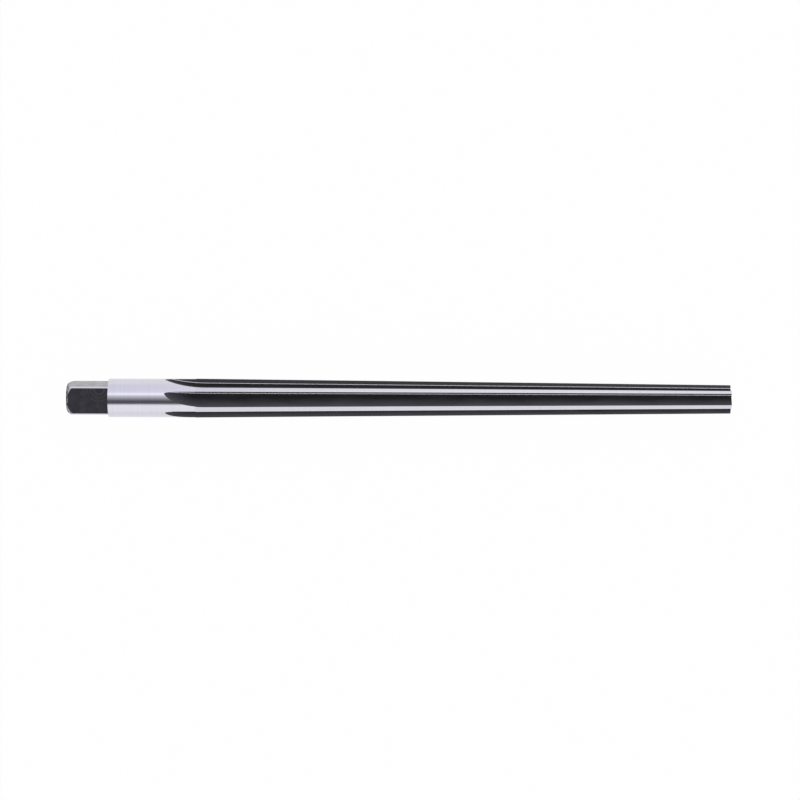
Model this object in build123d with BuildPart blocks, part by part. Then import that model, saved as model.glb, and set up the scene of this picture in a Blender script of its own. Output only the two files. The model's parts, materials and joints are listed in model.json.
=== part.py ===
from build123d import *
from math import acos, atan2, cos, degrees, hypot, radians, sin, sqrt
import os

# Hand reamer for the holes of 8 mm taper pins, one piece of hardened tool steel: a driving
# square, a plain shank, and six straight flutes with ground cutting lands that taper 1 in 50.
# It lies on a level surface as it comes to rest, on its shank and on the two tooth edges
# beside the lowest flute, so its own axis slopes a little down towards the tip.
# The tip points along +X, +Z is up, and the origin is on that surface under the middle.
# Sizes are in millimetres, angles in degrees.

# Lengths along the tool, from the driving end to the tip
square_length = 11.35
shank_length = 23.65
land_length = 145.0

# Driving square, milled on the end of the shank
shank_diameter = 10.5
square_across_flats = 7.8
square_turn = 10.5
square_end_diameter = 7.4
square_end_chamfer = 1.5

# Cutting part: the lands are a cone, ground just proud of the shank
tip_diameter = 7.8
taper_ratio = 50.0
tip_bevel = 0.15

# Flutes, cut by a disc with a flat side that leaves the radial tooth faces.
# Their openings, from the heel of one tooth to the face of the next, differ against chatter.
flute_count = 6
flute_opening = 46.0
opening_step = 1.5
core_share = 0.635
root_radius = 0.5
disc_radius = 36.6
full_depth_past_land_start = 2.7

# The outer part of each tooth face is ground a little deeper than the milled root below it
face_step = 0.12
face_step_radius = 0.1
milled_root_height = 0.75

# Each land keeps a narrow round margin behind its cutting edge, and falls away behind that
margin_width = 0.25
relief_angle = 9.0
relief_cut_width = 2.4

# Centre holes that the tool was turned and ground on
centre_angle = 60.0
shank_centre_diameter = 3.35
shank_centre_pilot = 1.6
shank_centre_depth = 3.5
tip_centre_diameter = 2.65
tip_centre_pilot = 1.25
tip_centre_depth = 2.8

# How far a cut reaches past the blank
overrun = 2.0

# Places along the tool axis and radii that follow from those sizes
land_start = square_length + shank_length
overall_length = land_start + land_length
full_depth_start = land_start + full_depth_past_land_start
bevel_start = overall_length - tip_bevel
shank_radius = shank_diameter / 2
tip_radius = tip_diameter / 2
radius_per_length = 1 / (2 * taper_ratio)
land_start_radius = tip_radius + land_length * radius_per_length
full_depth_radius = tip_radius + (overall_length - full_depth_start) * radius_per_length
bevel_start_radius = tip_radius + tip_bevel * radius_per_length
core_radius = core_share * full_depth_radius
core_slope = degrees(atan2(core_share * radius_per_length, 1))
tooth_spacing = 360 / flute_count
widest_opening = flute_opening + opening_step
margin_angle = degrees(margin_width / land_start_radius)

# The lowest flute opens straight down. Its run-out ends the plain shank underneath, and the
# tool rests there and on the two edges of that flute where the bevel of the tip begins.
half_widest = radians(widest_opening / 2)
flute_floor_rise = full_depth_radius * cos(2 * half_widest) - core_radius
flute_floor_width = full_depth_radius * sin(2 * half_widest)
bottom_offset = shank_radius * sin(half_widest)
disc_centre_along = full_depth_start + disc_radius * sin(radians(core_slope))
disc_centre_out = core_radius + disc_radius * cos(radians(core_slope))
disc_at_bottom = disc_radius - bottom_offset * flute_floor_rise / flute_floor_width
disc_to_shank = disc_centre_out - shank_radius * cos(half_widest)
shank_contact = disc_centre_along - sqrt(disc_at_bottom**2 - disc_to_shank**2)
tip_contact_depth = bevel_start_radius * cos(half_widest)
lean = atan2(shank_radius - tip_contact_depth, bevel_start - shank_contact)

# The tool's own planes: tool_plane has its normal along the tool from the driving end, with
# +Y to its right and the upper side of the tool up, and profile_plane runs lengthways.
driving_end = Vector(
    -overall_length / 2 * cos(lean),
    0,
    shank_contact * sin(lean) + shank_radius * cos(lean),
)
tool_direction = Vector(cos(lean), 0, -sin(lean))
tool_plane = Plane(origin=driving_end, x_dir=(0, 1, 0), z_dir=tool_direction)
profile_plane = Plane(origin=driving_end, x_dir=tool_direction, z_dir=(0, -1, 0))
tool_axis = Axis(driving_end, tool_direction)


def tool_place(turn, radius, along):
    """A place on the tool: turned from level, out from the axis and along from the end."""
    turned = Location((0, 0, 0), (0, 0, turn))
    return tool_plane.location * turned * Location((radius, 0, along))


with BuildPart() as reamer:
    # Turned blank: chamfered end, shank, and the cone of the lands with its bevelled tip
    with BuildSketch(profile_plane):
        with BuildLine():
            Polyline(
                (0, 0),
                (0, square_end_diameter / 2),
                (square_end_chamfer, shank_radius),
                (land_start, shank_radius),
                (land_start, land_start_radius),
                (bevel_start, bevel_start_radius),
                (overall_length, bevel_start_radius - tip_bevel),
                (overall_length, 0),
                close=True,
            )
        make_face()
    revolve(axis=tool_axis)

    # Driving square: four flats that leave a narrow strip of the shank at each corner
    with BuildSketch(tool_plane):
        Circle(shank_radius + overrun)
        Rectangle(
            square_across_flats,
            square_across_flats,
            rotation=square_turn,
            mode=Mode.SUBTRACT,
        )
    extrude(amount=square_length, mode=Mode.SUBTRACT)

    for tooth in range(flute_count):
        opening = flute_opening + opening_step * (1 - tooth % 3)
        heel_angle = 90 + widest_opening / 2 - tooth * tooth_spacing
        face_angle = heel_angle - opening

        # Flute: the disc runs along the sloping core, and rises out of the shank on its radius
        disc_plane = Plane(
            tool_place(face_angle, core_radius, full_depth_start)
            * Location((0, 0, 0), (0, -core_slope, 0))
        )
        flute_height = shank_radius - core_radius + overrun
        floor_rise = full_depth_radius * cos(radians(opening)) - core_radius
        floor_width = full_depth_radius * sin(radians(opening))
        past_heel = 1 + overrun / hypot(floor_rise, floor_width)
        with BuildSketch(disc_plane) as disc_profile:
            with BuildLine():
                Polyline(
                    (0, face_step),
                    (milled_root_height, face_step),
                    (milled_root_height, 0),
                    (flute_height, 0),
                    (flute_height, floor_width * past_heel),
                    (floor_rise * past_heel, floor_width * past_heel),
                    close=True,
                )
            make_face()
            corners = disc_profile.vertices()
            root = corners.sort_by_distance((0, face_step))[0]
            foot_of_grind = corners.sort_by_distance((milled_root_height, 0))[0]
            fillet(root, radius=root_radius)
            fillet(foot_of_grind, radius=face_step_radius)
        extrude(amount=land_length + overrun, mode=Mode.SUBTRACT)
        disc_axis = Axis(
            disc_plane.from_local_coords((disc_radius, 0, 0)),
            -disc_plane.y_dir,
        )
        rise_arc = degrees(acos(1 - flute_height / disc_radius))
        revolve(disc_profile.sketch, disc_axis, rise_arc, mode=Mode.SUBTRACT)

        # Relief: a flat along the land, from the margin down to the heel
        relief_place = tool_place(face_angle - margin_angle, land_start_radius, land_start)
        relief_plane = Plane(relief_place * Location((0, 0, 0), (0, 0, -relief_angle)))
        land_line = tool_place(face_angle - margin_angle, tip_radius, overall_length)
        land_direction = land_line.position - relief_place.position
        with BuildSketch(relief_plane):
            Rectangle(
                overrun,
                relief_cut_width,
                align=(Align.MIN, Align.MAX),
            )
        extrude(amount=land_length + overrun, dir=land_direction, mode=Mode.SUBTRACT)

    # Centre holes in both ends
    with Locations(Plane(origin=driving_end, z_dir=-tool_direction).location):
        CounterSinkHole(
            radius=shank_centre_pilot / 2,
            counter_sink_radius=shank_centre_diameter / 2,
            depth=shank_centre_depth,
            counter_sink_angle=centre_angle,
        )
    with Locations(tool_plane.offset(overall_length).location):
        CounterSinkHole(
            radius=tip_centre_pilot / 2,
            counter_sink_radius=tip_centre_diameter / 2,
            depth=tip_centre_depth,
            counter_sink_angle=centre_angle,
        )

reamer.part.label = "reamer"

os.makedirs("parts", exist_ok=True)
export_step(reamer.part, "parts/reamer.step")

box = reamer.part.bounding_box()
print("reamer box", box.min, box.max)
print("rests on the shank at", round(shank_contact, 2), "mm from the driving end")
print("axis slopes down to the tip by", round(degrees(lean), 3), "degrees")
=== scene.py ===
# %% [markdown]
# A hand reamer for taper pin holes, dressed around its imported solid.
#
# The real tool is one bar of tool steel that went through five jobs, and this script follows
# them in order: it was turned, its driving square was milled, its flutes were milled, it was
# hardened, which left a black skin, and then the shank and the cutting lands were ground
# bright. Bright steel beside black skin is what the eye reads as a reamer, so each cut made
# below carries its own finish with it.

# %% Load the frame
import bmesh
import bpy
import json
from math import acos, atan2, cos, degrees, hypot, pi, radians, sin, tan
from mathutils import Matrix, Vector


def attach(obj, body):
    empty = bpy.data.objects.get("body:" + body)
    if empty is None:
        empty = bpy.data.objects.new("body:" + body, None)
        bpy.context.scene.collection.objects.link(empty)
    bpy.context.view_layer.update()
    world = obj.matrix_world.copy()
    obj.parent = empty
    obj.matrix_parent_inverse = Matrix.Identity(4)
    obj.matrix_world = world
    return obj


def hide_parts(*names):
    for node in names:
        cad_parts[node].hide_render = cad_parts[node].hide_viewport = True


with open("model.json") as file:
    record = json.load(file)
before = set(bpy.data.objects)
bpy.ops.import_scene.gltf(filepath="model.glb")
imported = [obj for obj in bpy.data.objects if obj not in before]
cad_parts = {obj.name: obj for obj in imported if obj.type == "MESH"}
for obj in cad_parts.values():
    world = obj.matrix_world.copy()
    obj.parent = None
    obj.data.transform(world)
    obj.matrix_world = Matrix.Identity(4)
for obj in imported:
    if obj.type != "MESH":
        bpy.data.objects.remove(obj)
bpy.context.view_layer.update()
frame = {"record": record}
MM = 0.001
MICRON = MM / 1000

# %% [markdown]
# Everything is placed from the frame. The record's mounts give the middle of both ends of the
# tool, the radius of the shank and the way one flat of the square faces. The meshes are made
# upright, with the tool along their own Z, and one matrix lays them down in the frame.

# %% The tool's axis
mounts = {mount["name"]: mount for mount in frame["record"]["mounts"]}
driving_end = Vector(mounts["drive_square"]["pos_m"])
tip_end = Vector(mounts["taper_lands"]["pos_m"])
along = (tip_end - driving_end).normalized()
across = Vector((0, 1, 0))
upward = along.cross(across)
lay_down = Matrix.Translation(driving_end) @ Matrix((across, upward, along)).transposed().to_4x4()

overall_length = (tip_end - driving_end).length
shank_radius = mounts["shank"]["dims"]["r_mm"] * MM
top_flat = Vector(mounts["drive_flat_top"]["axis"])
square_turn = atan2(top_flat.dot(upward), top_flat.dot(across))
print("tool is", round(overall_length / MM, 2), "mm long, shank radius", shank_radius / MM)
print("top flat faces", round(degrees(square_turn), 2), "degrees from level")

# %% [markdown]
# The solid's other sizes are repeated here, since a reamer's look hangs on them: where the
# ground lands begin, how fast they taper, how deep the flutes are and how they end.

# %% Sizes of the tool
square_length = 11.35 * MM
square_across_flats = 7.8 * MM
square_end_radius = 3.7 * MM
square_end_chamfer = 1.5 * MM
land_start = 35 * MM
tip_radius = 3.9 * MM
tip_bevel = 0.15 * MM
taper = 1 / 100
full_depth_start = 37.7 * MM
overrun = 2 * MM


def land_radius(place):
    """Radius of the cutting lands at a distance from the driving end."""
    return tip_radius + (overall_length - place) * taper


print("land radius from", land_radius(land_start) / MM, "to", land_radius(overall_length) / MM)

# %% [markdown]
# ## The finishes, as slots
#
# A face keeps its slot number through every cut, so the order is fixed first: bright ground
# steel, the reliefs of the lands in the same steel painted a shade darker as painted shade, the
# black skin of the milled flutes with painted shade at their roots, the smoother black of the
# tooth faces, the bright ledge at the foot of each face, the black skin of the milled square,
# and its worn end. The materials themselves are made further down.

# %% Slots for the finishes
finishes = ["ground steel", "ground relief painted darker", "black flute", "black tooth face", "bright ledge",
            "black square", "worn end"]
GROUND, RELIEF, FLUTE, FACE, LEDGE, SQUARE, WORN = range(len(finishes))
slots = [bpy.data.materials.new(name) for name in finishes]
weld_distance = 0.2 * MICRON
print("finishes", finishes)


def mesh_object(name, bm, place=Matrix.Identity(4)):
    """Turns a bmesh into an object with the finishes as slots and its place in its mesh."""
    bmesh.ops.remove_doubles(bm, verts=bm.verts, dist=weld_distance)
    bmesh.ops.recalc_face_normals(bm, faces=bm.faces)
    open_edges = sum(not edge.is_manifold for edge in bm.edges)
    bmesh.ops.transform(bm, matrix=place, verts=bm.verts)
    mesh = bpy.data.meshes.new(name)
    bm.to_mesh(mesh)
    bm.free()
    for material in slots:
        mesh.materials.append(material)
    made = bpy.data.objects.new(name, mesh)
    bpy.context.scene.collection.objects.link(made)
    print(name, len(mesh.polygons), "faces,", open_edges, "open edges")
    return made


# %% [markdown]
# ## Turning the blank
#
# A lathe makes anything round from one outline, and so does spin: half the outline is drawn
# beside the axis, and spun once round it. The outline runs from the centre hole in the driving
# end, over the chamfer, the shank and the cone of the lands, into the centre hole in the tip.
# The small bevel that a stone leaves on each corner is made on the outline, before the spin,
# because there it is only a corner between two lines. The cones of the centre holes are ground
# bright, since the tool ran on them, and their pilot holes keep the black skin.

# %% Turned blank
shank_centre_radius = 1.675 * MM
shank_pilot_radius = 0.8 * MM
shank_centre_depth = 3.5 * MM
tip_centre_radius = 1.325 * MM
tip_pilot_radius = 0.625 * MM
tip_centre_depth = 2.8 * MM
centre_angle = radians(60)
centre_slope = tan(centre_angle / 2)
turning_steps = 288
broken_corner = 0.06 * MM
end_round = 0.4 * MM
corner_segments = 6


def turned_blank():
    """The blank as it leaves the lathe, spun from its outline."""
    bevel_start = overall_length - tip_bevel
    outline = [
        (0, shank_centre_depth),
        (shank_pilot_radius, shank_centre_depth),
        (shank_pilot_radius, (shank_centre_radius - shank_pilot_radius) / centre_slope),
        (shank_centre_radius, 0),
        (square_end_radius, 0),
        (shank_radius, square_end_chamfer),
        (shank_radius, land_start),
        (land_radius(land_start), land_start),
        (land_radius(bevel_start), bevel_start),
        (land_radius(bevel_start) - tip_bevel, overall_length),
        (tip_centre_radius, overall_length),
        (tip_pilot_radius, overall_length - (tip_centre_radius - tip_pilot_radius) / centre_slope),
        (tip_pilot_radius, overall_length - tip_centre_depth),
        (0, overall_length - tip_centre_depth),
    ]
    bm = bmesh.new()
    corners = [bm.verts.new((radius, 0, place)) for radius, place in outline]
    for start, end in zip(corners, corners[1:]):
        bm.edges.new((start, end))
    end_corners = corners[4:6]
    stoned_corners = [corners[3], *corners[8:11]]
    for chosen, size in ((end_corners, end_round), (stoned_corners, broken_corner)):
        bmesh.ops.bevel(bm, geom=chosen, offset=size, offset_type="OFFSET",
                        segments=corner_segments, profile=0.5, affect="VERTICES", material=-1)
    bmesh.ops.spin(bm, geom=bm.verts[:] + bm.edges[:], cent=(0, 0, 0), axis=(0, 0, 1),
                   angle=2 * pi, steps=turning_steps, use_merge=True)
    for face in bm.faces:
        middle = face.calc_center_median()
        out = hypot(middle.x, middle.y)
        if out < shank_pilot_radius:
            face.material_index = FLUTE
        elif out > shank_centre_radius and middle.z < square_end_chamfer:
            face.material_index = WORN
    return mesh_object("blank", bm)


reamer = turned_blank()

# %% [markdown]
# ## Milling the square
#
# Four passes of a mill leave the driving square, and narrow strips of the old round stay on its
# corners. Cutting four slabs away would do it. Keeping what lies inside a square bar is one cut
# instead of four, and it lets the front edges of the bar be rounded first, as on the real end.

# %% Square bar that the blank is kept inside
square_edge_round = 0.55 * MM
edge_segments = 8


def square_bar():
    """A square bar with rounded front edges, that widens past the square to hold the rest."""
    bm = bmesh.new()
    size = Matrix.Diagonal((square_across_flats, square_across_flats, square_length, 1))
    bmesh.ops.create_cube(bm, size=1, matrix=Matrix.Translation((0, 0, square_length / 2)) @ size)
    front = [edge for edge in bm.edges
             if all(vert.co.z < square_length / 2 for vert in edge.verts)]
    bmesh.ops.bevel(bm, geom=front, offset=square_edge_round, offset_type="OFFSET",
                    segments=edge_segments, profile=0.5, affect="EDGES", material=-1)
    back = max(bm.faces, key=lambda face: face.calc_center_median().z)
    wide = (shank_radius + overrun) / (square_across_flats / 2)
    for stretch, push in ((wide, 0), (1, overall_length)):
        made = bmesh.ops.extrude_face_region(bm, geom=[back])["geom"]
        bmesh.ops.delete(bm, geom=[back], context="FACES_ONLY")
        back = next(item for item in made if isinstance(item, bmesh.types.BMFace))
        bmesh.ops.scale(bm, vec=(stretch, stretch, 1), verts=back.verts)
        bmesh.ops.translate(bm, vec=(0, 0, push), verts=back.verts)
    for face in bm.faces:
        face.material_index = WORN if face.calc_center_median().z < square_edge_round else SQUARE
    return mesh_object("square bar", bm, Matrix.Rotation(square_turn, 4, "Z"))


# %% [markdown]
# ## Milling the flutes
#
# A disc with one flat side runs along the tool. The flat side leaves the radial face of a
# tooth, the slanting rim leaves the floor that rises to the heel of the next one, and where the
# disc is lifted out, its radius leaves the long scoop on the shank. So a flute's cutter here is
# the disc's section, swept round the disc's axis through the run-out and then straight along
# the sloping core.
#
# The outer part of each tooth face was then ground a little deeper than the milled root, by a
# wheel that ran along the cutting edge. It is one more sweep, of a small square section with one
# rounded corner, and that corner leaves the tiny ledge that is the fine bright line along each
# flute. The solid has this ledge parallel to the core. In the photo it comes down faster, about
# halfway between the slope of the core and that of the lands.

# %% Sizes of the disc and the wheel
core_share = 0.635
root_radius = 0.5 * MM
disc_radius = 36.6 * MM
wheel_radius = 43 * MM
wheel_depth = 0.14 * MM
wheel_corner = 0.12 * MM
milled_root_height = 0.75 * MM
core_radius = core_share * land_radius(full_depth_start)
core_slope = atan2(core_share * taper, 1)
flute_height = shank_radius - core_radius + overrun
print("core radius", round(core_radius / MM, 3), "mm at full depth, sloping",
      round(degrees(core_slope), 3), "degrees")

# %% [markdown]
# Hardening can wind a long fluted bar by a few degrees. In the photo each land drifts sideways
# against the outline of the tool, by about 4 degrees from one end to the other, so the
# cutters are wound by that much before they cut. The lowest flute stays straight below a
# little past the middle of its length.

# %% Winding
winding = radians(-4.2)
unwound_at = 0.58


def wind(bm, place):
    """Lays a cutter in its place and winds it round the tool by its share of the lands' length."""
    bmesh.ops.transform(bm, matrix=place, verts=bm.verts)
    length = overall_length - land_start
    for vert in bm.verts:
        turn = winding * ((vert.co.z - land_start) / length - unwound_at)
        vert.co.rotate(Matrix.Rotation(turn, 3, "Z"))


print("driving end of the lands is turned by", round(degrees(-winding * unwound_at), 2), "degrees,",
      "the tip by", round(degrees(winding * (1 - unwound_at)), 2))

# %% [markdown]
# Extrude moves a face and leaves walls behind it, so a sweep is many short extrusions, each
# turned or moved a little further. The start and the end stay closed, because a Boolean needs a
# closed body to tell inside from outside.

# %% Sweep of a section
run_out_steps = 80
straight_steps = 16
root_segments = 10


def sweep(corners, cut_back, radius):
    """A section swept down a disc's arc and then along, its first corner rounded.

    The rounding reaches back from the corner by cut_back on both sides.
    """
    bm = bmesh.new()
    section = [bm.verts.new((*corner, 0)) for corner in corners]
    bm.faces.new(section)
    bmesh.ops.bevel(bm, geom=[section[0]], offset=cut_back, offset_type="OFFSET",
                    segments=root_segments, profile=0.5, affect="VERTICES", material=-1)

    # The section starts where the disc is clear of the shank, and is swept down to full depth
    rise = acos(1 - flute_height / radius)
    centre = (radius, 0, 0)
    bmesh.ops.rotate(bm, cent=centre, matrix=Matrix.Rotation(-rise, 3, "Y"), verts=bm.verts)
    end = bm.faces[:][0]
    turn = Matrix.Rotation(rise / run_out_steps, 3, "Y")
    stride = (overall_length - land_start) / straight_steps
    for step in range(run_out_steps + straight_steps):
        made = bmesh.ops.extrude_face_region(bm, geom=[end])["geom"]
        if step:
            bmesh.ops.delete(bm, geom=[end], context="FACES_ONLY")
        end = next(item for item in made if isinstance(item, bmesh.types.BMFace))
        if step < run_out_steps:
            bmesh.ops.rotate(bm, cent=centre, matrix=turn, verts=end.verts)
        else:
            bmesh.ops.translate(bm, vec=(0, 0, stride), verts=end.verts)
    return bm


print("disc comes down over",
      round(disc_radius * sin(acos(1 - flute_height / disc_radius)) / MM, 1), "mm")

# %% [markdown]
# Both tools are laid on a tooth face in the same way: turned to it, moved out from the axis,
# and tilted by the slope that they follow. The disc removes everything up to the next heel. The
# wheel only reaches into the face, and the flat side of its layer is what will be black.

# %% Cutters for one flute


def on_tooth(face_angle, radius, slope):
    """Where a sweep lies: on one tooth face, at a radius, and sloping down towards the tip."""
    return (
        Matrix.Rotation(face_angle, 4, "Z")
        @ Matrix.Translation((radius, 0, full_depth_start))
        @ Matrix.Rotation(-slope, 4, "Y")
    )


def flute_cutter(face_angle, opening):
    """The space that the disc clears for one flute, from its run-out to past the tip."""
    floor_rise = land_radius(full_depth_start) * cos(opening) - core_radius
    floor_width = land_radius(full_depth_start) * sin(opening)
    past_heel = 1 + overrun / hypot(floor_rise, floor_width)
    root_angle = atan2(floor_width, floor_rise)
    corners = [
        (0, wheel_depth),
        (flute_height, wheel_depth),
        (flute_height, floor_width * past_heel),
        (floor_rise * past_heel, floor_width * past_heel),
    ]
    bm = sweep(corners, root_radius / tan(root_angle / 2), disc_radius)
    for face in bm.faces:
        face.material_index = FLUTE
    wind(bm, on_tooth(face_angle, core_radius, core_slope))
    return mesh_object("flute cutter", bm)


def face_grinder(face_angle):
    """The thin layer that the wheel takes off the outer part of one tooth face."""
    width = 4 * wheel_depth
    corners = [(0, 0), (flute_height, 0), (flute_height, width), (0, width)]
    bm = sweep(corners, wheel_corner, wheel_radius)
    for face in bm.faces:
        face.material_index = FACE if face.calc_center_median().y < MICRON else LEDGE
    halfway_slope = atan2((1 + core_share) / 2 * taper, 1)
    wind(bm, on_tooth(face_angle, core_radius + milled_root_height, halfway_slope))
    return mesh_object("face grinder", bm)


# %% [markdown]
# ## Relieving the lands
#
# Each land keeps a narrow round margin right behind its cutting edge. Behind that it is ground
# away at a small angle, so that only the edge touches the hole. The relief is too shallow to
# see as a shape, but it turns the light, and the margin then shows as a brighter hairline.

# %% Cutter for one relief
margin_width = 0.25 * MM
relief_angle = radians(9)
relief_cut_width = 2.4 * MM


def relief_cutter(face_angle):
    """A slab whose underside is the relief of one land, along the line behind its margin."""
    margin_angle = face_angle - margin_width / land_radius(land_start)
    bm = bmesh.new()
    corners = [(0, 0), (overrun, 0), (overrun, -relief_cut_width), (0, -relief_cut_width)]
    end = bm.faces.new([bm.verts.new((*corner, 0)) for corner in corners])
    tilt = Matrix.Rotation(-relief_angle, 3, "Z")
    bmesh.ops.rotate(bm, cent=(0, 0, 0), matrix=tilt, verts=bm.verts)
    stride = (overall_length - land_start + overrun) / straight_steps
    for step in range(straight_steps):
        made = bmesh.ops.extrude_face_region(bm, geom=[end])["geom"]
        if step:
            bmesh.ops.delete(bm, geom=[end], context="FACES_ONLY")
        end = next(item for item in made if isinstance(item, bmesh.types.BMFace))
        bmesh.ops.translate(bm, vec=(-stride * taper, 0, stride), verts=end.verts)
    for face in bm.faces:
        face.material_index = RELIEF
    place = (
        Matrix.Rotation(margin_angle, 4, "Z")
        @ Matrix.Translation((land_radius(land_start), 0, land_start))
    )
    wind(bm, place)
    return mesh_object("relief cutter", bm)


# %% [markdown]
# ## Making the cuts
#
# The teeth are not evenly spaced: each flute opens a little wider or narrower than the next, so
# that the tool doesn't chatter. The heels stay 60 degrees apart and the faces move. All cuts
# are Boolean modifiers in a row on the blank, read back as one mesh at the end. An edge is
# shaded crisp where two finishes meet, because a wheel or a mill ended there, even where the
# two surfaces meet nearly flat.

# %% Cut the square, the flutes and the reliefs
flute_count = 6
flute_opening = 46
opening_step = 1.5
smooth_below = radians(14)
weld_after_cuts = 0.5 * MICRON


def cut(piece, tool, operation):
    """Adds one cut to a piece, exact, with each face keeping the slot of the mesh it is from."""
    modifier = piece.modifiers.new(tool.name, "BOOLEAN")
    modifier.operation = operation
    modifier.solver = "EXACT"
    modifier.object = tool
    tool.hide_render = True


cutters = [square_bar()]
cut(reamer, cutters[0], "INTERSECT")
first_heel = 90 + (flute_opening + opening_step) / 2
for tooth in range(flute_count):
    opening = flute_opening + opening_step * (1 - tooth % 3)
    face_angle = radians(first_heel - tooth * 360 / flute_count - opening)
    tools = (flute_cutter(face_angle, radians(opening)), face_grinder(face_angle),
             relief_cutter(face_angle))
    for tool in tools:
        cut(reamer, tool, "DIFFERENCE")
        cutters.append(tool)


def finished_mesh(piece):
    """The piece after its cuts as one mesh, laid down in the frame, with crisp edges."""
    evaluated = piece.evaluated_get(bpy.context.evaluated_depsgraph_get())
    bm = bmesh.new()
    bm.from_mesh(evaluated.to_mesh())
    evaluated.to_mesh_clear()
    bmesh.ops.remove_doubles(bm, verts=bm.verts, dist=weld_after_cuts)
    bmesh.ops.dissolve_degenerate(bm, dist=weld_distance, edges=bm.edges)
    print("open edges", sum(not edge.is_manifold for edge in bm.edges),
          "volume in cubic mm", round(bm.calc_volume() / MM**3, 1))
    for face in bm.faces:
        face.smooth = True
    for edge in bm.edges:
        one_finish = len({face.material_index for face in edge.link_faces}) == 1
        edge.smooth = one_finish and edge.calc_face_angle(pi) < smooth_below
    bmesh.ops.transform(bm, matrix=lay_down, verts=bm.verts)
    mesh = bpy.data.meshes.new("reamer")
    bm.to_mesh(mesh)
    bm.free()
    for material in slots:
        mesh.materials.append(material)
    return mesh


body = bpy.data.objects.new("reamer_body", finished_mesh(reamer))
bpy.context.scene.collection.objects.link(body)
for made in [reamer, *cutters]:
    bpy.data.objects.remove(made)
print(body.name, len(body.data.polygons), "faces")

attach(body, "root")
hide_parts("reamer")

# %% [markdown]
# ## Finishes
#
# Colours are written as the hex values that a painter would pick from a screen, and one
# function turns them into the linear light that Blender mixes.

# %% Colours
def linear(hex_colour):
    """A colour written as sRGB hex, as the linear values that a shader takes."""
    channels = [int(hex_colour[i:i + 2], 16) / 255 for i in (1, 3, 5)]
    return [c / 12.92 if c <= 0.04045 else ((c + 0.055) / 1.055) ** 2.4 for c in channels] + [1]


print("half grey on a screen is", round(linear("#808080")[0], 3), "of white in linear light")

# %% [markdown]
# A material is a tree of nodes. One function adds a node, with its fields set, and gives each
# of its inputs a value or the output of another node, so that a material below reads as a list
# of what it is made of.

# %% One node
def add_node(tree, kind, inputs=None, output=None, **fields):
    """Adds a node and returns it, or the one output of it that is asked for."""
    made = tree.nodes.new(kind)
    for name, value in fields.items():
        setattr(made, name, value)
    for socket, value in (inputs or {}).items():
        if isinstance(value, bpy.types.NodeSocket):
            tree.links.new(value, made.inputs[socket])
        else:
            made.inputs[socket].default_value = value
    return made.outputs[output] if output else made


# %% [markdown]
# Three short groups of nodes come back in most finishes. The first turns Object coordinates so
# that X runs along the tool and its axis is at zero. The second is a noise whose patches have
# real sizes in millimetres, along the tool, across it and up. The third is the distance from
# the axis. Noise stays near a half, so it is counted from 0.3 to 0.7. The last function puts a
# finish into its slot.

# %% Groups of nodes
noise_reach = {"From Min": 0.3, "From Max": 0.7}


def tool_coordinates(tree):
    """Object coordinates with X along the tool from its driving end, and its axis at zero."""
    where = add_node(tree, "ShaderNodeTexCoord", output="Object")
    lean = atan2(-along.z, along.x)
    return add_node(tree, "ShaderNodeMapping", {
        "Vector": where, "Location": driving_end, "Rotation": (0, lean, 0),
    }, "Vector", vector_type="TEXTURE")


def patches(tree, place, sizes, detail=2.0, roughness=0.5):
    """Soft variation from zero to one, in patches of the given sizes in millimetres."""
    counted = add_node(tree, "ShaderNodeMapping", {
        "Vector": place, "Scale": [1 / (size * MM) for size in sizes],
    }, "Vector")
    return add_node(tree, "ShaderNodeTexNoise", {
        "Vector": counted, "Scale": 1.0, "Detail": detail, "Roughness": roughness,
    }, "Fac")


def from_axis(tree, place):
    """Distance from the tool's axis."""
    sideways_only = add_node(tree, "ShaderNodeVectorMath", {
        0: place, 1: (0, 1, 1),
    }, "Vector", operation="MULTIPLY")
    return add_node(tree, "ShaderNodeVectorMath", {0: sideways_only}, "Value", operation="LENGTH")


def dress(slot, finish, *colours):
    """Builds the finish of one slot from an empty tree."""
    material = slots[slot]
    material.use_nodes = True
    tree = material.node_tree
    tree.nodes.clear()
    shader = finish(tree, *colours)
    add_node(tree, "ShaderNodeOutputMaterial", {"Surface": shader})
    print(material.name, "is made of", len(tree.nodes), "nodes")


# %% [markdown]
# Ground steel: the shank and the lands ran between centres against a fine wheel, which leaves
# close rings round the tool, far finer than a pixel here. What the eye gets is a bright mirror
# that is smeared a little along the tool. The rings are drawn at 0.25 mm, coarser than the
# wheel's grit, so that they can show at all, and they are kept faint. The reliefs were ground
# last with a coarser wheel. They get the same steel painted a shade darker than the margins
# beside them, as painted shade for the dimmer reflection that they catch.

# %% Ground steel
ring_sizes = (0.25, 9, 9)
uneven_shine_sizes = (6, 3, 3)


def ground_steel(tree, dark, light):
    """Bright steel with faint grinding rings and a slightly uneven shine."""
    place = tool_coordinates(tree)
    rings = patches(tree, place, ring_sizes, detail=3.0, roughness=0.6)
    clouds = patches(tree, place, uneven_shine_sizes)
    colour = add_node(tree, "ShaderNodeMix", {
        "Factor": rings, "A": linear(dark), "B": linear(light),
    }, "Result", data_type="RGBA")
    roughness = add_node(tree, "ShaderNodeMapRange", {
        "Value": clouds, **noise_reach, "To Min": 0.09, "To Max": 0.13,
    }, "Result")
    bump = add_node(tree, "ShaderNodeBump", {
        "Height": rings, "Strength": 0.05, "Distance": 0.02 * MM,
    }, "Normal")
    return add_node(tree, "ShaderNodeBsdfPrincipled", {
        "Base Color": colour, "Metallic": 1.0, "Roughness": roughness, "Normal": bump,
    }, "BSDF")


dress(GROUND, ground_steel, "#CECCD5", "#DDDBE4")
# The reliefs' colours are the ground steel's made a shade darker, as painted shade.
dress(RELIEF, ground_steel, "#C4C2CB", "#D2D0D9")
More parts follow.
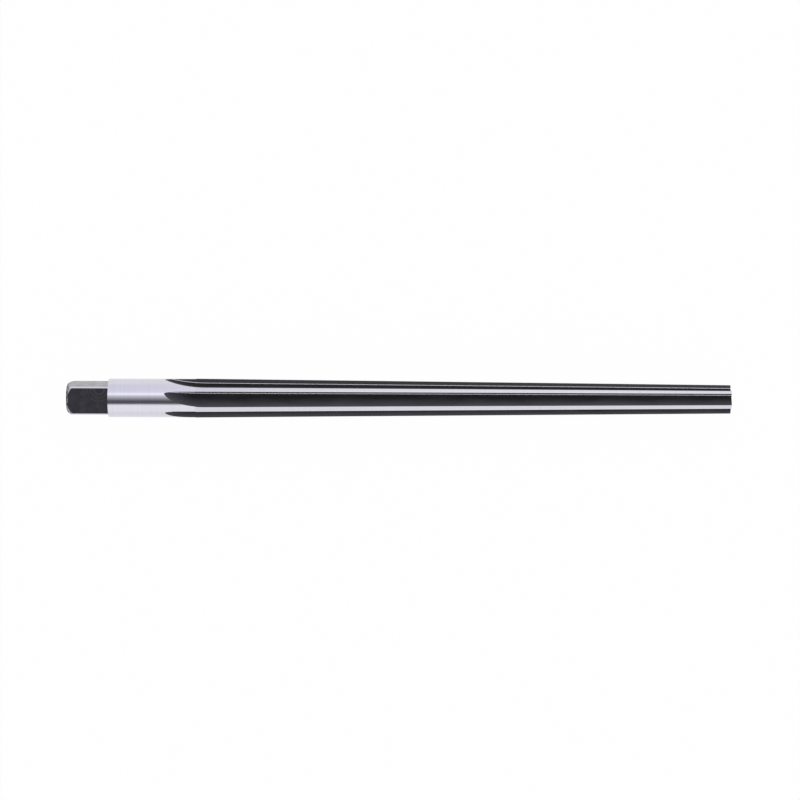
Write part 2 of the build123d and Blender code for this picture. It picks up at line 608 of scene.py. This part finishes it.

# %% [markdown]
# Black flute: hardening leaves a thin dark oxide on the milled surfaces. The mill left them
# rough, so the oxide is nearly matt there and shines less than oxide would on a smooth surface,
# which the low index gives. The mill's lines along the flute are drawn 0.18 mm apart, coarser
# than they are, so that they can show. The colour is painted black at the root and dark grey
# towards the heel, as painted shade of the hollow between the teeth. The share of the way from
# the axis to the lands tells one from the other anywhere along the taper.

# %% Black flute
mill_line_sizes = (14, 0.18, 0.18)
worn_patch_sizes = (9, 2, 2)
# Shares of the way out to the lands between which the painted shade of the root fades out.
darkest_shade_share = 0.68
shade_ends_share = 0.95
cloudiness = 0.3


def black_flute(tree):
    """Dark oxide with lines along the flute, with painted shade that darkens it towards the root.
    """
    place = tool_coordinates(tree)
    lines = patches(tree, place, mill_line_sizes, detail=3.0, roughness=0.6)
    clouds = patches(tree, place, worn_patch_sizes)
    down_the_tool = add_node(tree, "ShaderNodeSeparateXYZ", {"Vector": place}, "X")
    lands = add_node(tree, "ShaderNodeMath", {
        0: down_the_tool, 1: -taper, 2: land_radius(0),
    }, "Value", operation="MULTIPLY_ADD")
    share_out = add_node(tree, "ShaderNodeMath", {
        0: from_axis(tree, place), 1: lands,
    }, "Value", operation="DIVIDE")
    # Painted shade: the colour is darkest at the root of the flute and lightens towards the heel.
    painted_shade_ramp = add_node(tree, "ShaderNodeMapRange", {
        "Value": share_out, "From Min": darkest_shade_share, "From Max": shade_ends_share,
    }, "Result")
    uneven = add_node(tree, "ShaderNodeMapRange", {
        "Value": clouds, **noise_reach, "To Min": -cloudiness / 2, "To Max": cloudiness / 2,
    }, "Result")
    grey = add_node(tree, "ShaderNodeMath", {0: painted_shade_ramp, 1: uneven}, "Value", operation="ADD")
    colour = add_node(tree, "ShaderNodeMix", {
        "Factor": grey, "A": linear("#1C1B1F"), "B": linear("#49484C"),
    }, "Result", data_type="RGBA")
    roughness = add_node(tree, "ShaderNodeMapRange", {
        "Value": lines, **noise_reach, "To Min": 0.78, "To Max": 0.94,
    }, "Result")
    bump = add_node(tree, "ShaderNodeBump", {
        "Height": lines, "Strength": 0.25, "Distance": 0.02 * MM,
    }, "Normal")
    return add_node(tree, "ShaderNodeBsdfPrincipled", {
        "Base Color": colour, "IOR": 1.35, "Roughness": roughness, "Normal": bump,
    }, "BSDF")


dress(FLUTE, black_flute)

# %% [markdown]
# Fine lines along the tool, left by a wheel, are most of what tells the next two finishes from
# plain black and plain steel. They are drawn about 0.1 mm apart, coarser than they are.
#
# Black tooth face: the same oxide over a ground surface. It is smoother than the milled floor,
# so the face shines evenly where it is seen at a low angle.
#
# Bright ledge: the edge of the grinding wheel ran here last and left bare steel, less smooth
# than a ground land.

# %% Black tooth face and bright ledge
face_line_sizes = (12, 0.12, 0.12)
ledge_line_sizes = (8, 0.1, 0.1)


def lined(tree, sizes, dark, light):
    """The colour and the roughness of a surface with fine lines along the tool."""
    lines = patches(tree, tool_coordinates(tree), sizes)
    colour = add_node(tree, "ShaderNodeMix", {
        "Factor": lines, "A": linear(dark), "B": linear(light),
    }, "Result", data_type="RGBA")
    roughness = add_node(tree, "ShaderNodeMapRange", {
        "Value": lines, **noise_reach, "To Min": 0.3, "To Max": 0.42,
    }, "Result")
    return {"Base Color": colour, "Roughness": roughness}


def black_face(tree):
    """Smooth dark oxide with fine lines along the tool."""
    surface = lined(tree, face_line_sizes, "#39383D", "#454449")
    return add_node(tree, "ShaderNodeBsdfPrincipled", {**surface, "IOR": 1.75}, "BSDF")


def bright_ledge(tree):
    """Satin steel with fine lines along the tool."""
    surface = lined(tree, ledge_line_sizes, "#D2D0D8", "#E4E2EA")
    return add_node(tree, "ShaderNodeBsdfPrincipled", {**surface, "Metallic": 1.0}, "BSDF")


dress(FACE, black_face)
dress(LEDGE, bright_ledge)

# %% [markdown]
# Black square: the same skin on the flats of the square. Where the end mill stopped before the
# shoulder it left faint rings, 0.8 mm apart round the place where it stood, that fade out within
# a few millimetres. The oxide has the high index of magnetite and a film of oil lies on it in
# patches, so the flat that is seen at a low angle shines grey.

# %% Black square
oil_patch_sizes = (2.5, 2, 2)
mill_stop = Vector((9.0, 2.6, 3.2)) * MM
mill_ring_spacing = 0.8 * MM
mill_ring_strength = 0.5
mill_ring_reach = 5 * MM


def mill_rings(tree, place):
    """Waves from minus one to one round the place where the mill stopped, fading outwards."""
    away = add_node(tree, "ShaderNodeVectorMath", {
        0: place, 1: mill_stop,
    }, "Value", operation="DISTANCE")
    phase = add_node(tree, "ShaderNodeMath", {
        0: away, 1: 2 * pi / mill_ring_spacing,
    }, "Value", operation="MULTIPLY")
    wave = add_node(tree, "ShaderNodeMath", {0: phase}, "Value", operation="SINE")
    fade = add_node(tree, "ShaderNodeMapRange", {
        "Value": away, "From Min": mill_ring_reach, "From Max": 0.0,
    }, "Result")
    return add_node(tree, "ShaderNodeMath", {0: wave, 1: fade}, "Value", operation="MULTIPLY")


def black_square(tree):
    """Dark oxide with the rings of an end mill and a patchy film of oil."""
    place = tool_coordinates(tree)
    clouds = patches(tree, place, oil_patch_sizes, detail=3.0)
    skin = add_node(tree, "ShaderNodeMath", {
        0: mill_rings(tree, place), 1: mill_ring_strength, 2: clouds,
    }, "Value", operation="MULTIPLY_ADD")
    colour = add_node(tree, "ShaderNodeMix", {
        "Factor": skin, "A": linear("#1C1B1F"), "B": linear("#323136"),
    }, "Result", data_type="RGBA")
    roughness = add_node(tree, "ShaderNodeMapRange", {
        "Value": skin, **noise_reach, "To Min": 0.12, "To Max": 0.22,
    }, "Result")
    oil = add_node(tree, "ShaderNodeMapRange", {
        "Value": clouds, **noise_reach, "To Min": 0.0, "To Max": 0.7,
    }, "Result")
    bump = add_node(tree, "ShaderNodeBump", {
        "Height": skin, "Strength": 0.1, "Distance": 0.02 * MM,
    }, "Normal")
    return add_node(tree, "ShaderNodeBsdfPrincipled", {
        "Base Color": colour, "IOR": 2.4, "Specular Tint": linear("#F6F6FF"),
        "Roughness": roughness, "Coat Weight": oil, "Normal": bump,
    }, "BSDF")


dress(SQUARE, black_square)

# %% [markdown]
# Worn end: a tool is knocked and dropped on the end of its square. The corners stick out most
# and are bare steel, and between them the chamfer has lost the black skin only in patches well
# under a millimetre wide. The middle of the end face is never touched and stays black. The
# patches decide between the metal and the oxide of one shader. The oxide is as matt as in the
# flutes, so it gets the same low index.

# %% Worn end
chip_sizes = (0.5, 0.7, 0.7)
knocked_from = 3.1 * MM
knocked_bare = 4.9 * MM
knocked_most = 1.6
skin_left = 1.2


def worn_end(tree):
    """Bare steel in patches, and all over the corners, where the oxide is knocked off."""
    place = tool_coordinates(tree)
    chips = patches(tree, place, chip_sizes, detail=4.0, roughness=0.6)
    knocked = add_node(tree, "ShaderNodeMapRange", {
        "Value": from_axis(tree, place), "From Min": knocked_from, "From Max": knocked_bare,
    }, "Result")
    left_black = add_node(tree, "ShaderNodeMapRange", {
        "Value": chips, **noise_reach, "To Min": -skin_left, "To Max": 0.0,
    }, "Result")
    bare = add_node(tree, "ShaderNodeMath", {
        0: knocked, 1: knocked_most, 2: left_black,
    }, "Value", operation="MULTIPLY_ADD")
    colour = add_node(tree, "ShaderNodeMix", {
        "Factor": bare, "A": linear("#232227"), "B": linear("#C9C7CF"),
    }, "Result", data_type="RGBA")
    roughness = add_node(tree, "ShaderNodeMapRange", {
        "Value": chips, **noise_reach, "To Min": 0.8, "To Max": 0.3,
    }, "Result")
    bump = add_node(tree, "ShaderNodeBump", {
        "Height": chips, "Strength": 0.5, "Distance": 0.03 * MM,
    }, "Normal")
    return add_node(tree, "ShaderNodeBsdfPrincipled", {
        "Base Color": colour, "Metallic": bare, "IOR": 1.35, "Roughness": roughness,
        "Normal": bump,
    }, "BSDF")


dress(WORN, worn_end)

# %% [markdown]
# ## The studio
#
# Bright steel has no colour of its own to show, only what stands round it. A tool like this is
# photographed in a white tent with a slot above it for the camera, and the slot is the dark
# line along the shank. The world is that tent: its light depends mostly on how far a direction
# leans from straight up towards the back or the front. The back wall is bluish on the left and
# brighter on the right, and the slot stops before the ends of the tent. The leans are in
# degrees, from straight down in front of the tool, over straight up at zero, to straight down
# behind it, each with its level of light.

# %% Levels of the tent
tent_parts = {
    "wall in front of the tool": [(-180, 0.88), (-100, 1.06), (-48, 1.11)],
    "edge of the slot": [(-41, 1.0), (-34, 0.3), (-30, 0.13)],
    "slot": [(-19, 0.1), (-13, 0.17)],
    "cloth that fades in beside it": [(12, 0.72), (16, 0.86)],
    "lamp behind the cloth": [(21, 1.16), (25, 1.23), (34, 1.0)],
    "wall behind the tool": [(42, 0.9), (180, 0.88)],
}
tent_levels = [stop for part in tent_parts.values() for stop in part]
half_turn = 180
blue_lift = 0.015
white = linear("#FFFFFF")
plain_level = (0.9, 0.9, 0.92, 1)
left_tint = (1.0, 1.0, 1.09, 1)
right_tint = (1.3, 1.3, 1.28, 1)
print("tent has", len(tent_levels), "levels in", len(tent_parts), "parts")

# %% [markdown]
# A direction is three numbers. Its lean comes from Y and Z, and looks up the level on a colour
# ramp.

# %% World
world = bpy.data.worlds.new("tent")
bpy.context.scene.world = world
world.use_nodes = True
sky = world.node_tree
sky.nodes.clear()

direction = add_node(sky, "ShaderNodeTexCoord", output="Generated")
parts = add_node(sky, "ShaderNodeSeparateXYZ", {"Vector": direction})
lean = add_node(sky, "ShaderNodeMath", {
    0: parts.outputs["Y"], 1: parts.outputs["Z"],
}, "Value", operation="ARCTAN2")
turned = add_node(sky, "ShaderNodeMapRange", {
    "Value": lean, "From Min": -pi, "From Max": pi,
}, "Result")
tent = add_node(sky, "ShaderNodeValToRGB", {"Fac": turned})
ramp = tent.color_ramp
while len(ramp.elements) < len(tent_levels):
    ramp.elements.new(0.5)
for element, (angle, level) in zip(ramp.elements, tent_levels):
    element.position = (angle + half_turn) / (2 * half_turn)
    element.color = (level, level, level + blue_lift, 1)
print("ramp has", len(ramp.elements), "stops")

# %% [markdown]
# Y tells the back wall, and X tells left from right on it. Its two tints are multiplied over
# the levels.

# %% Tint of the back wall
back_wall_from = 0.0
back_wall_full = 0.3
left_until = -0.08
right_from = 0.015

to_the_right = add_node(sky, "ShaderNodeMapRange", {
    "Value": parts.outputs["X"], "From Min": left_until, "From Max": right_from,
}, "Result")
back_tint = add_node(sky, "ShaderNodeMix", {
    "Factor": to_the_right, "A": left_tint, "B": right_tint,
}, "Result", data_type="RGBA")
to_the_back = add_node(sky, "ShaderNodeMapRange", {
    "Value": parts.outputs["Y"], "From Min": back_wall_from, "From Max": back_wall_full,
}, "Result")
tint = add_node(sky, "ShaderNodeMix", {
    "Factor": to_the_back, "A": white, "B": back_tint,
}, "Result", data_type="RGBA")
walls = add_node(sky, "ShaderNodeMix", {
    "Factor": 1.0, "A": tent.outputs["Color"], "B": tint,
}, "Result", data_type="RGBA", blend_type="MULTIPLY")
print("right side of the back wall is", right_tint[0] / left_tint[0], "times as bright as the left")

# %% [markdown]
# How far X reaches to either side tells how near a direction is to one of the ends of the tent,
# where everything is plain. The camera itself sees plain white.

# %% Ends of the tent, and what the camera sees
ends_from = 0.45
ends_full = 0.75

sideways = add_node(sky, "ShaderNodeMath", {
    0: parts.outputs["X"],
}, "Value", operation="ABSOLUTE")
to_an_end = add_node(sky, "ShaderNodeMapRange", {
    "Value": sideways, "From Min": ends_from, "From Max": ends_full,
}, "Result")
whole = add_node(sky, "ShaderNodeMix", {
    "Factor": to_an_end, "A": walls, "B": plain_level,
}, "Result", data_type="RGBA")
to_the_camera = add_node(sky, "ShaderNodeLightPath", output="Is Camera Ray")
seen_plain = add_node(sky, "ShaderNodeMix", {
    "Factor": to_the_camera, "A": whole, "B": white,
}, "Result", data_type="RGBA")
light = add_node(sky, "ShaderNodeBackground", {"Color": seen_plain, "Strength": 1.0}, "Background")
add_node(sky, "ShaderNodeOutputWorld", {"Surface": light})
print("world is made of", len(sky.nodes), "nodes")

# %% [markdown]
# The floor is a white sheet. To the camera and in reflections it is lifted to plain white, and
# what is left of the shading keeps the soft shadow under the tool.

# %% White floor
floor_size = 4.0
floor_lift = 0.98

bm = bmesh.new()
bmesh.ops.create_grid(bm, x_segments=1, y_segments=1, size=floor_size / 2)
floor_mesh = bpy.data.meshes.new("floor")
bm.to_mesh(floor_mesh)
bm.free()
floor = bpy.data.objects.new("floor", floor_mesh)
bpy.context.scene.collection.objects.link(floor)

paper = bpy.data.materials.new("white paper")
paper.use_nodes = True
tree = paper.node_tree
tree.nodes.clear()
path = add_node(tree, "ShaderNodeLightPath")
seen = path.outputs["Is Camera Ray"]
for ray in ("Is Glossy Ray", "Is Transmission Ray"):
    seen = add_node(tree, "ShaderNodeMath", {
        0: seen, 1: path.outputs[ray],
    }, "Value", operation="MAXIMUM")
lifted = add_node(tree, "ShaderNodeMath", {0: seen, 1: floor_lift}, "Value", operation="MULTIPLY")
matt = add_node(tree, "ShaderNodeBsdfDiffuse", {"Color": white}, "BSDF")
plain = add_node(tree, "ShaderNodeEmission", {"Color": white, "Strength": 1.0}, "Emission")
mixed = add_node(tree, "ShaderNodeMixShader", {"Fac": lifted, 1: matt, 2: plain}, "Shader")
add_node(tree, "ShaderNodeOutputMaterial", {"Surface": mixed})
floor_mesh.materials.append(paper)
print("floor is", floor_size, "m wide")

# %% [markdown]
# ## Camera
#
# The picture was taken from almost straight above the middle of the tool, with a long lens, so
# that both ends are seen nearly straight down. The camera leans a little to the back and is
# turned by a hair.

# %% Camera
lens = 120
sensor = 36
frame_width = 217.22 * MM
camera_lean = radians(2.43)
camera_turn = radians(0.18)
aim = (driving_end + tip_end) / 2 + Vector((0.21, -0.39, 0)) * MM
distance = frame_width * lens / sensor
back = Vector((0, sin(camera_lean), cos(camera_lean)))
right = Vector((1, 0, 0))
base = Matrix((right, back.cross(right), back)).transposed().to_4x4()
camera_data = bpy.data.cameras.new("camera")
camera_data.lens = lens
camera_data.sensor_width = sensor
camera = bpy.data.objects.new("camera", camera_data)
camera.matrix_world = (
    Matrix.Translation(aim + back * distance)
    @ base @ Matrix.Rotation(camera_turn, 4, "Z")
)
bpy.context.scene.collection.objects.link(camera)
bpy.context.scene.camera = camera
bpy.context.scene.view_settings.view_transform = "Standard"
print("camera is", round(distance / MM), "mm from the tool")
